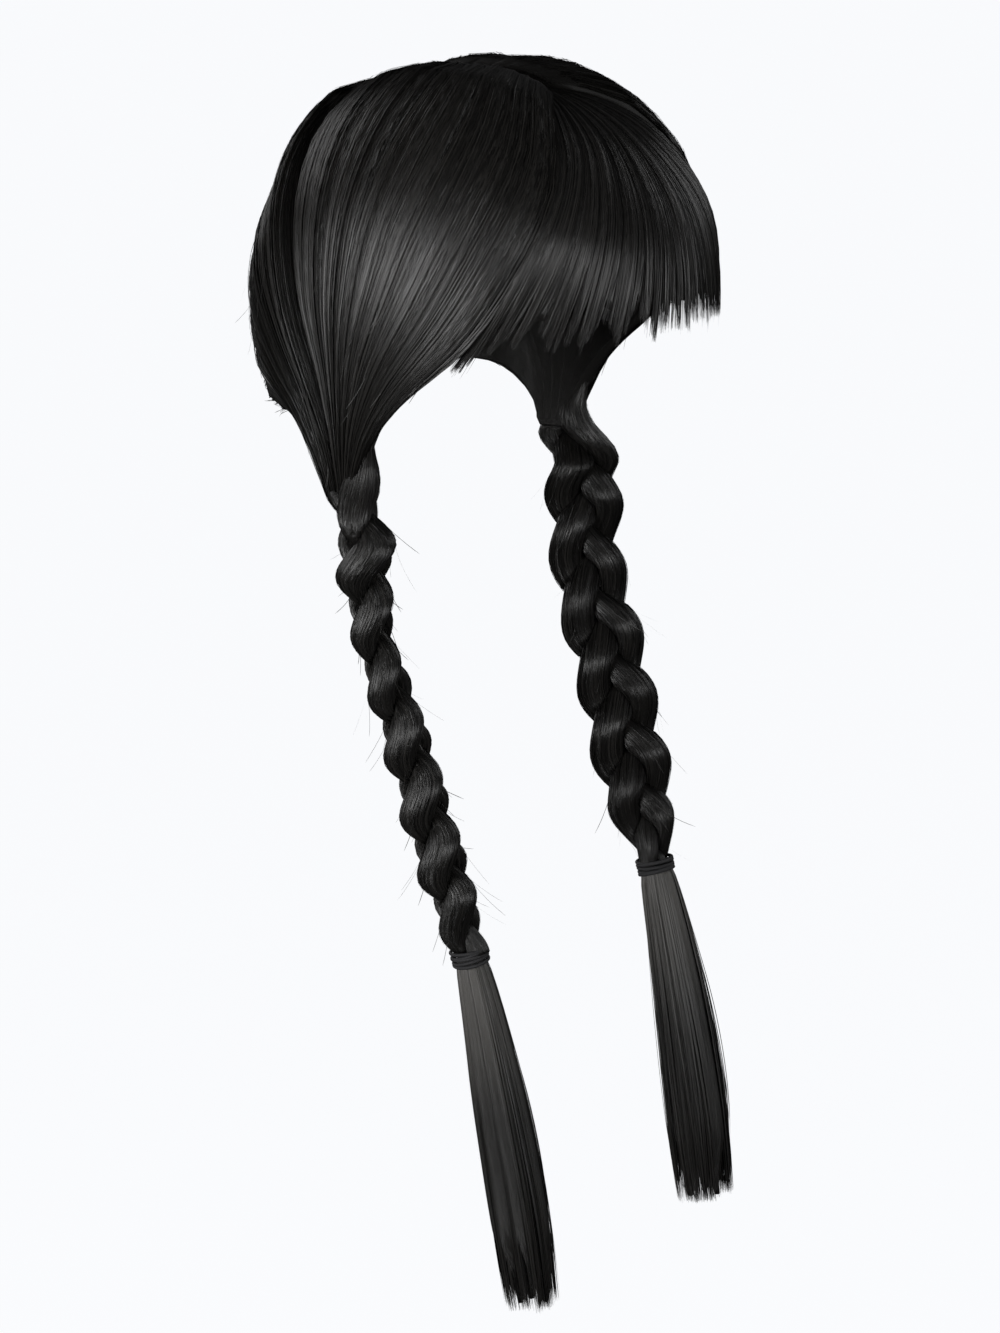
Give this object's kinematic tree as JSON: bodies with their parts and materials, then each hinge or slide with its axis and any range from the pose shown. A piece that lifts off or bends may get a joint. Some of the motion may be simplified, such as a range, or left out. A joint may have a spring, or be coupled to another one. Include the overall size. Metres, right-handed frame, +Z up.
{
  "type": "braided wig",
  "caption": "Black synthetic-hair wig on an open cap, with a blunt fringe, a centre parting and a braid on each side, each tied off above a straight tail.",
  "frame": {"origin": "inside of the cap's crown, where the top of the wearer's head meets it", "axes": "+Z up, -Y the way the wearer looks, +X the wearer's left"},
  "size_m": [0.2006, 0.2087, 0.5325],
  "materials": {
    "hair": "black synthetic fibre combed into smooth glossy locks, with a soft band of sheen over the sides and the fringe",
    "braid_hair": "the same black fibre, glossy on each lobe of the braid",
    "tail_hair": "the same black fibre, loose and straight, greyer under the tie",
    "cap_net": "matte black stretch net with sewn wefts",
    "scalp_skin": "soft grey skin-like patch under the roots of the parting",
    "elastic": "thin black elastic band, wound round"
  },
  "bodies": {
    "root": {"cap": "cap_net", "parting": "scalp_skin", "fringe": "hair", "side_front_right": "hair", "side_rear_right": "hair", "wrap_lock_right": "hair", "back_hair_right": "hair", "braid_right_a": "braid_hair", "braid_right_b": "braid_hair", "braid_right_c": "braid_hair", "tie_right": "elastic", "tail_right": "tail_hair", "side_front_left": "hair", "side_rear_left": "hair", "wrap_lock_left": "hair", "back_hair_left": "hair", "braid_left_a": "braid_hair", "braid_left_b": "braid_hair", "braid_left_c": "braid_hair", "tie_left": "elastic", "tail_left": "tail_hair"}
  },
  "joints": []
}
